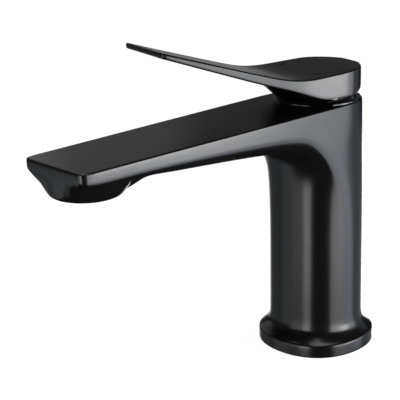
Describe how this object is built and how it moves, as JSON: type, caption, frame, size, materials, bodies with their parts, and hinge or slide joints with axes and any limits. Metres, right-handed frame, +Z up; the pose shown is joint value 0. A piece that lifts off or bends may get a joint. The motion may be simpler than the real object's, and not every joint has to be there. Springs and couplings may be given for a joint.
{
  "type": "single-lever basin mixer",
  "caption": "Single-lever basin mixer with a flat tapered spout, a rounded column on a flared base and a paddle lever that lifts and swings.",
  "frame": {"origin": "on the deck, where the column's axis meets it", "axes": "+Z up along the column, -Y along the spout, +X to the cold side"},
  "size_m": [0.0585, 0.1769, 0.1514],
  "materials": {
    "black_body": "matte black coating on cast brass",
    "black_handle": "matte black coating on zinc",
    "black_cap": "black, semi-gloss",
    "brass": "turned",
    "steel": "turned stainless",
    "ceramic": "lapped alumina ceramic",
    "white_plastic": "moulded acetal",
    "grey_plastic": "moulded",
    "red_plastic": "moulded",
    "rubber": "moulded EPDM",
    "green_rubber": "moulded",
    "red_enamel": "muted red enamel",
    "blue_enamel": "muted blue enamel"
  },
  "bodies": {
    "mixer_body": {"body": "black_body", "base_seal": "rubber", "inlet_seals": "rubber", "cartridge_base": "white_plastic", "disc_seals": "rubber", "fixed_disc": "ceramic", "cartridge_housing": "grey_plastic", "cartridge_oring": "rubber", "retaining_nut": "brass", "limit_ring": "red_plastic", "trim_cap": "black_cap", "cap_oring": "rubber", "aerator_housing": "white_plastic", "aerator_washer": "rubber", "flow_regulator": "green_rubber", "aerator_insert": "white_plastic", "aerator_screen": "grey_plastic"},
    "turning_stem": {"rotor": "white_plastic", "spindle_pin": "steel"},
    "lever": {"handle": "black_handle", "spindle": "steel", "set_screw": "steel", "screw_plug": "black_cap", "hot_mark": "red_enamel", "cold_mark": "blue_enamel"},
    "disc_slide": {"moving_disc": "ceramic", "disc_carrier": "white_plastic"}
  },
  "joints": [
    {"name": "temperature_swing", "type": "hinge", "parent": "mixer_body", "child": "turning_stem", "pos_m": [0, 0, 0.112], "axis": [0, 0, 1], "range_deg": [-39, 61]},
    {"name": "flow_lift", "type": "hinge", "parent": "turning_stem", "child": "lever", "pos_m": [0, 0, 0.112], "axis": [-0.9816, 0.1908, 0], "range_deg": [0, 12]},
    {"name": "disc_travel", "type": "slide", "parent": "turning_stem", "child": "disc_slide", "axis": [-0.1908, -0.9816, 0], "range_m": [0, 0.004]}
  ],
  "couplings": [
    {"joint": "disc_travel", "follows": "flow_lift", "m_per_rad": 0.0176}
  ]
}
